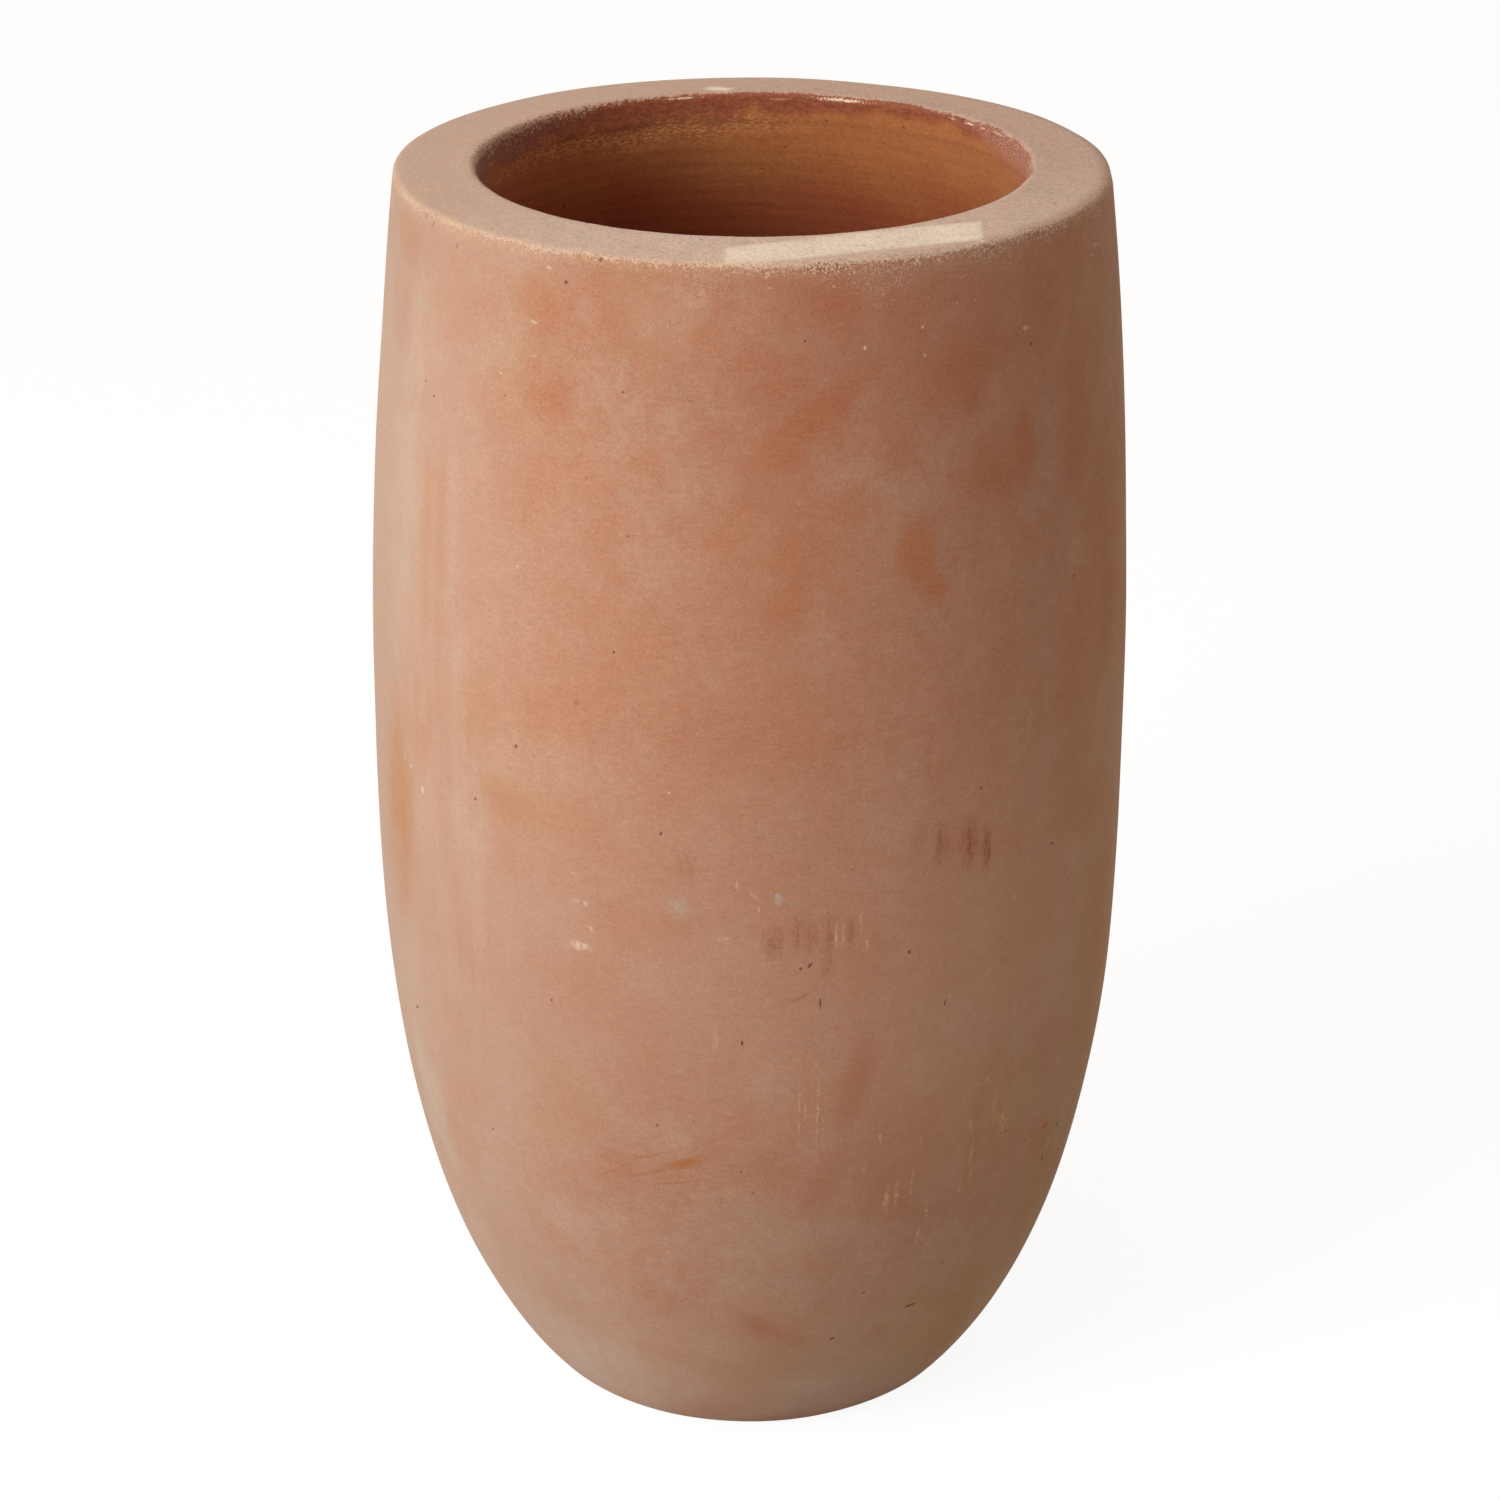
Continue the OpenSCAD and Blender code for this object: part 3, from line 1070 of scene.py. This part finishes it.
def wall_colour(sh, place, grain, sand):
    """Colour of the outer wall: mottled clay, fresh to pale with whitening and painted light, under the tints
    of its stains and of its painted light and shade.
    """
    cloud = sh.noise(place, CLOUDS, 3, 0.55)
    patch = sh.noise(place, PATCHES, 4, 0.6)
    mottle = sh.noise(place, MOTTLES, 3, 0.6)
    streak = sh.noise(place, 95, 3, 0.6, squeeze=(1, 1, 0.09))
    streaked = sh.times(sh.attribute("streaked"), sh.between(streak, 0.3, 0.7, -1.0, 1.0))
    broken = sh.plus(0.9, sh.uneven((patch, 0.8), (mottle, 0.8)))

    share = sh.uneven((cloud, 0.85), (patch, 0.62), (mottle, 0.50), (sand, 0.32), (grain, 0.20))
    share = sh.times(share, sh.attribute("mottled"))
    share = sh.plus(share, sh.times(streaked, 0.08))
    colour = sh.mix(sh.plus(sh.attribute("bleached_and_lit"), share), FRESH_CLAY, BLEACHED_AND_LIT_CLAY)
    for name, tint in TINTS.items():
        colour = sh.tinted(colour, sh.times(sh.attribute(name), broken), tint)
    # Painted light and painted shade: even lightening and darkening of the wall
    colour = sh.tinted(colour, sh.attribute("painted_light"), PAINTED_LIGHT_TINT)
    return sh.tinted(colour, sh.attribute("painted_shade"), PAINTED_SHADE_TINT)


def marked_colour(sh, place, grain, colour):
    """Adds plum strokes, orange smears, gold streaks, blue smudges and pale chips to the wall's colour."""
    fray = sh.times(sh.math("SUBTRACT", sh.noise(place, SAND_GRAINS), 0.5), 2.2)
    strokes = sh.noise(place, 760, squeeze=(1, 1, 0.12))
    dashes = sh.noise(place, 500, squeeze=(1, 1, 0.5))
    drags = sh.noise(place, 300, 3, squeeze=(1, 1, 0.07))

    plum = mark_strength(sh, "plum", sh.times(fray, 0.6), 0.2, 1.4)
    rubbed = sh.uneven((drags, 1.0), (grain, 0.8), (dashes, 0.5))
    colour = sh.tinted(colour, sh.times(plum, sh.between(rubbed, -0.16, 0.14, 0.2, 1.05)), PLUM_TINT)
    smear = mark_strength(sh, "smear", sh.times(fray, 0.2), 0.1, 1.3)
    colour = sh.mix(sh.times(smear, 0.9), colour, SMEAR_ORANGE)
    gold = mark_strength(sh, "gold", sh.times(fray, 0.8), 0.3, 1.5)
    flaked = sh.uneven((dashes, 1.0), (grain, 0.9))
    colour = sh.mix(sh.times(gold, sh.between(flaked, -0.06, 0.12, 0.08, 0.8)), colour, GOLD)
    smudge = mark_strength(sh, "smudge", sh.times(fray, 1.4), 0.0, 1.5)
    colour = sh.mix(sh.times(smudge, 0.6), colour, BLUE_GREY)
    chip = mark_strength(sh, "chip", sh.times(fray, 0.7), 0.5, 1.4)
    return sh.mix(sh.times(chip, sh.between(strokes, 0.42, 0.56, 0.3, 0.85)), colour, CHIPPED)


def pinholes(sh, place, density, share, largest):
    """Tiny dark holes that burnt-out grit left: one in this share of the cells of a random pattern."""
    distance = sh.cells(place, density)
    pick = sh.node("ShaderNodeSeparateColor", {0: sh.cells(place, density, "Color")})
    chosen = sh.math("LESS_THAN", pick.outputs[0], share)
    size = sh.between(pick.outputs[1], 0.0, 1.0, 0.3 * largest, largest)
    return sh.times(sh.between(sh.math("DIVIDE", distance, size), 1.1, 0.6), chosen)


def inner_colour(sh, place, sand):
    """Colour of the inside, redder and unbleached, and the fine level lines that the turning left there."""
    lines = sh.noise(place, 330, 3, 0.6, squeeze=(0.12, 0.12, 1))
    patch = sh.noise(place, 40, 4, 0.65)
    share = sh.plus(sh.attribute("inner_gold"), sh.uneven((patch, 0.8), (lines, 0.5), (sand, 0.5)))
    inner = sh.mix(share, INSIDE_DEEP, INSIDE_GOLD)
    return sh.varied(inner, sh.uneven((lines, 0.14), (sand, 0.45))), lines


def scraped_colour(sh, place, grain, sand, colour):
    """Adds the scraped band inside the mouth, with painted shade in its scratches, its lit creases and its
    pink side. Also gives its scratches.
    """
    plum = sh.attribute("mouth_plum")
    scratches = sh.noise(place, 460, 4, 0.7, squeeze=(0.5, 0.5, 1))
    # Darker clay in the scratches: partly the band's own darker clay, partly painted shade in their hollows
    scraped = sh.mix(sh.between(scratches, 0.32, 0.62), SCRAPED_DARK, SCRAPED_CLAY)
    scraped = sh.mix(sh.times(plum, 0.65), scraped, MOUTH_PLUM)
    scraped = sh.mix(sh.between(sand, 0.47, 0.36, 0.0, 0.7), scraped, SCRAPED_DARK)
    rough = sh.dithered("mouth_rough", sh.uneven((grain, 1.2), (sand, 1.2)))
    colour = sh.mix(rough, colour, scraped)
    colour = sh.mix(sh.times(rough, plum, sh.between(grain, 0.56, 0.66, 0.0, 0.4)), colour, RIM_DUST)
    dashes = sh.noise(place, 800, 2, 0.6, squeeze=(0.4, 0.4, 1))
    # Painted highlight: gold where the creases catch the light
    catch = sh.times(sh.attribute("creased"), sh.between(dashes, 0.44, 0.62, 0.0, 0.68))
    colour = sh.mix(catch, colour, CREASE_HIGHLIGHT)
    fringe = sh.attribute("fringe")
    colour = sh.mix(sh.times(fringe, sh.between(grain, 0.35, 0.65, 0.5, 1.0)), colour, FRINGE_PINK)
    pale = sh.times(sh.between(fringe, 0.5, 1.0), sh.between(grain, 0.50, 0.64, 0.0, 0.4))
    return sh.mix(pale, colour, SAND), scratches


def rim_colour(sh, place, grain, sand, colour):
    """Adds the dust on the rim's flat, the sandy wear of its outer edge and the grains that sparkle there."""
    patch = sh.noise(place, PATCHES, 4, 0.6)
    dust = sh.mix(sh.between(patch, 0.35, 0.7, 0.0, 0.6), RIM_DUST, RIM_ROSE)
    dust = sh.mix(sh.attribute("pale_rim"), dust, PALE_DUST)
    dust = sh.varied(dust, sh.uneven((patch, 0.35), (sand, 0.5), (grain, 0.3)))
    held = sh.between(sh.attribute("fringe"), 0.0, 0.5, 1.0, 0.45)
    loose = sh.times(sh.uneven((grain, 1.9), (sand, 2.4)), held)
    colour = sh.mix(sh.dithered("rim_top", loose), colour, dust)
    worn = sh.attribute("edge_wear")
    colour = sh.mix(sh.times(worn, 0.5), colour, TAN)
    grainy = sh.between(sh.plus(grain, sh.times(worn, 0.06)), 0.50, 0.66)
    colour = sh.mix(sh.times(worn, 0.6, grainy), colour, SAND)
    sparkle = sh.attribute("sparkle")
    colour = sh.mix(sh.times(sparkle, sh.between(grain, 0.46, 0.36, 0.0, 0.7)), colour, PIT_BROWN)
    return sh.mix(sh.times(sparkle, sh.between(grain, 0.57, 0.68)), colour, QUARTZ)


def dark_holes(sh, place, grain, inside):
    """Strength of all that shows as a dark hole: pinholes, more of them inside, and the pits."""
    fray = sh.uneven((grain, 1.2))
    holes = sh.times(pinholes(sh, place, 70, 0.3, 0.06), 0.4)
    inner_holes = sh.times(pinholes(sh, place, 170, 0.4, 0.15), 0.45, inside)
    pits = [mark_strength(sh, name, fray, 0.5, 1.2) for name in ("pit", "mouth_pit")]
    pits = sh.times(sh.math("MAXIMUM", *pits), 0.8)
    return sh.math("MAXIMUM", sh.math("MAXIMUM", holes, inner_holes), pits)


def relief(sh, height, roughnesses, dark):
    """The clay's bumps: this height all over, and the inside's lines and scratches, less the dark holes."""
    for roughness in roughnesses:
        height = sh.plus(height, sh.times(*roughness))
    height = sh.math("SUBTRACT", height, sh.times(dark, 0.5))
    return sh.node("ShaderNodeBump", {"Strength": 0.7, "Distance": 0.0012, "Height": height}).outputs[0]


def clay_material():
    """The jar's one material: unglazed terracotta, dusty on the rim, scraped inside the mouth."""
    material = bpy.data.materials.new("terracotta")
    sh = Shader(material)
    place = sh.object_place()
    grain = sh.noise(place, FINE_GRAINS, 2, 0.6)
    sand = sh.noise(place, SAND_GRAINS, 3, 0.7)
    level = sh.noise(place, 520, squeeze=(0.25, 0.25, 1))
    inside = sh.attribute("inside")

    wall = marked_colour(sh, place, grain, wall_colour(sh, place, grain, sand))
    inner, lines = inner_colour(sh, place, sand)
    colour, scratches = scraped_colour(sh, place, grain, sand, sh.mix(inside, wall, inner))
    colour = rim_colour(sh, place, grain, sand, colour)
    # Painted highlight: glints of sun along the mouth's corner
    colour = sh.mix(mark_strength(sh, "painted_glint", sh.uneven((grain, 5.0)), 0.4, 1.4), colour, PAINTED_GLINT)
    dark = dark_holes(sh, place, grain, inside)
    colour = sh.mix(dark, colour, PIT_BROWN)
    speckle = sh.uneven((grain, 0.42), (sand, 0.20), (level, 0.18))
    colour = sh.varied(colour, sh.times(speckle, sh.between(sh.attribute("bleached_and_lit"), 0.2, 1.0, 1.1, 0.45)))

    inner_relief = [(inside, lines, 0.3), (sh.attribute("mouth_rough"), scratches, 0.9)]
    look = {
        "Base Color": colour,
        "Roughness": sh.between(sand, 0.2, 0.8, 0.82, 0.96),
        "Normal": relief(sh, sh.uneven((grain, 0.10), (sand, 0.14)), inner_relief, dark),
        "IOR": 1.45,
        "Specular IOR Level": 0.4,
        "Diffuse Roughness": 0.3,
        "Sheen Weight": 0.05,
        "Sheen Roughness": 0.6,
    }
    surface = sh.node("ShaderNodeBsdfPrincipled", look)
    sh.node("ShaderNodeOutputMaterial", {"Surface": surface.outputs[0]})
    return material


# -------------------- the piece


def add_object(name, data):
    made = bpy.data.objects.new(name, data)
    bpy.context.scene.collection.objects.link(made)
    return made


def planter_jar():
    jar = add_object("terracotta_jar", jar_mesh())
    jar.data.materials.append(clay_material())
    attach(jar, "root")
    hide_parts("planter_jar")


# -------------------- camera, floor and light

# The photograph's view: focal length in pixels of its 1500 pixel frame, and where the camera stood
PHOTO_SIDE_PX = 1500
FOCAL_PX = 3600
CAMERA_PLACE = (0, -2.0978, 1.3501)
CAMERA_DOWN_DEG = 24.03
SENSOR_MM = 36

# Share of the floor's look that is plain white; the rest is lit, and so keeps the jar's shadow. The glow is a
# little over white, to make up for what the lit share is darker. There is no glow under the jar's foot, so
# that the drain hole looks dark from above
FLOOR_WHITE = 0.85
FLOOR_GLOW = 1.07
FLOOR_SEEN = (0.95, 0.95, 0.95, 1)
FLOOR_BOUNCE = (0.36, 0.33, 0.30, 1)
FLOOR_HALF = 14.0
UNDER_JAR_R = FOOT_R - 2 * FOOT_EDGE
GLOW_FADE = 0.002
WHITE = (1, 1, 1, 1)

FILL_COLOUR = (1.0, 0.85, 0.72, 1)
FILL_STRENGTH = 0.51

# The window: a large soft square of daylight, high on the camera's left
WINDOW_PLACE = (-2.45, -2.06, 1.9)
WINDOW_TARGET = (0, 0, 0.45)
WINDOW_SIDE = 1.8
WINDOW_POWER = 106
WINDOW_COLOUR = (0.90, 0.98, 1.0)

# Where the low sun stands that reaches the rim through a gap: its height, and its bearing past the jar
SUN_HEIGHT = math.radians(40)
SUN_ASIDE = math.radians(19)
SUN_AWAY = 0.3
SUN_COLOUR = (0.70, 1.0, 0.96)


def photo_camera():
    data = bpy.data.cameras.new("photo_camera")
    data.sensor_width = SENSOR_MM
    data.lens = FOCAL_PX * SENSOR_MM / PHOTO_SIDE_PX
    camera = add_object("photo_camera", data)
    camera.location = CAMERA_PLACE
    camera.rotation_euler = (math.radians(90 - CAMERA_DOWN_DEG), 0, 0)
    bpy.context.scene.camera = camera


def seen_rays(sh):
    """1 for the rays of the camera, of mirrors and of glass, and 0 for those that gather light."""
    path = sh.node("ShaderNodeLightPath")
    seen = sh.plus(path.outputs["Is Camera Ray"], path.outputs["Is Glossy Ray"])
    return sh.math("MINIMUM", sh.plus(seen, path.outputs["Is Transmission Ray"]), 1.0)


def floor_material():
    material = bpy.data.materials.new("pale_floor")
    sh = Shader(material)
    seen = seen_rays(sh)
    lit = sh.node("ShaderNodeBsdfDiffuse", {"Color": sh.mix(seen, FLOOR_BOUNCE, FLOOR_SEEN)})
    glow = sh.node("ShaderNodeEmission", {"Color": WHITE, "Strength": FLOOR_GLOW})
    beside_jar = sh.between(sh.length(sh.object_place()), UNDER_JAR_R - GLOW_FADE, UNDER_JAR_R)
    share = sh.times(seen, beside_jar, FLOOR_WHITE)
    white = sh.node("ShaderNodeMixShader", {0: share, 1: lit.outputs[0], 2: glow.outputs[0]})
    sh.node("ShaderNodeOutputMaterial", {"Surface": white.outputs[0]})
    return material


def floor():
    mesh = bpy.data.meshes.new("floor")
    s = FLOOR_HALF
    mesh.from_pydata([(-s, -s, 0), (s, -s, 0), (s, s, 0), (-s, s, 0)], [], [(0, 1, 2, 3)])
    made = add_object("floor", mesh)
    mesh.materials.append(floor_material())


def surroundings():
    """A weak even fill from all round, and plain white where the camera sees past the floor."""
    world = bpy.data.worlds.new("surroundings")
    bpy.context.scene.world = world
    sh = Shader(world)
    fill = sh.node("ShaderNodeBackground", {"Color": FILL_COLOUR, "Strength": FILL_STRENGTH})
    white = sh.node("ShaderNodeBackground", {"Color": WHITE})
    chosen = sh.node("ShaderNodeMixShader", {0: seen_rays(sh), 1: fill.outputs[0], 2: white.outputs[0]})
    sh.node("ShaderNodeOutputWorld", {"Surface": chosen.outputs[0]})


def area_lamp(name, place, target, size, power, colour, roll_deg=0, spread_deg=180):
    data = bpy.data.lights.new(name, "AREA")
    data.shape = "RECTANGLE"
    data.size, data.size_y = size
    data.energy = power
    data.color = colour
    data.spread = math.radians(spread_deg)
    lamp = add_object(name, data)
    lamp.location = place
    aim = (Vector(target) - Vector(place)).to_track_quat("-Z", "Y")
    lamp.rotation_euler = (aim @ Quaternion((0, 0, 1), math.radians(roll_deg))).to_euler()


def sun_through_gap(name, patch, size, power, roll_deg, spread_deg):
    """A narrow beam from behind the jar that lights one small patch of the rim."""
    level = math.cos(SUN_HEIGHT)
    up_beam = Vector((level * math.sin(SUN_ASIDE), level * math.cos(SUN_ASIDE), math.sin(SUN_HEIGHT)))
    place = Vector(patch) + up_beam * SUN_AWAY
    area_lamp(name, place, patch, size, power, SUN_COLOUR, roll_deg, spread_deg)


def lamps():
    area_lamp("window", WINDOW_PLACE, WINDOW_TARGET, (WINDOW_SIDE, WINDOW_SIDE), WINDOW_POWER, WINDOW_COLOUR)
    front, back = (0.058, -0.1764, 0.799), (-0.020, 0.1745, 0.800)
    sun_through_gap("sun_front", front, size=(0.1327, 0.0213), power=0.0067, roll_deg=27.6, spread_deg=1.0)
    sun_through_gap("sun_back", back, size=(0.016, 0.006), power=0.00036, roll_deg=0, spread_deg=1.6)


# -------------------- the scene

bpy.context.scene.view_settings.view_transform = "Standard"
photo_camera()
planter_jar()
floor()
surroundings()
lamps()

bpy.context.view_layer.update()
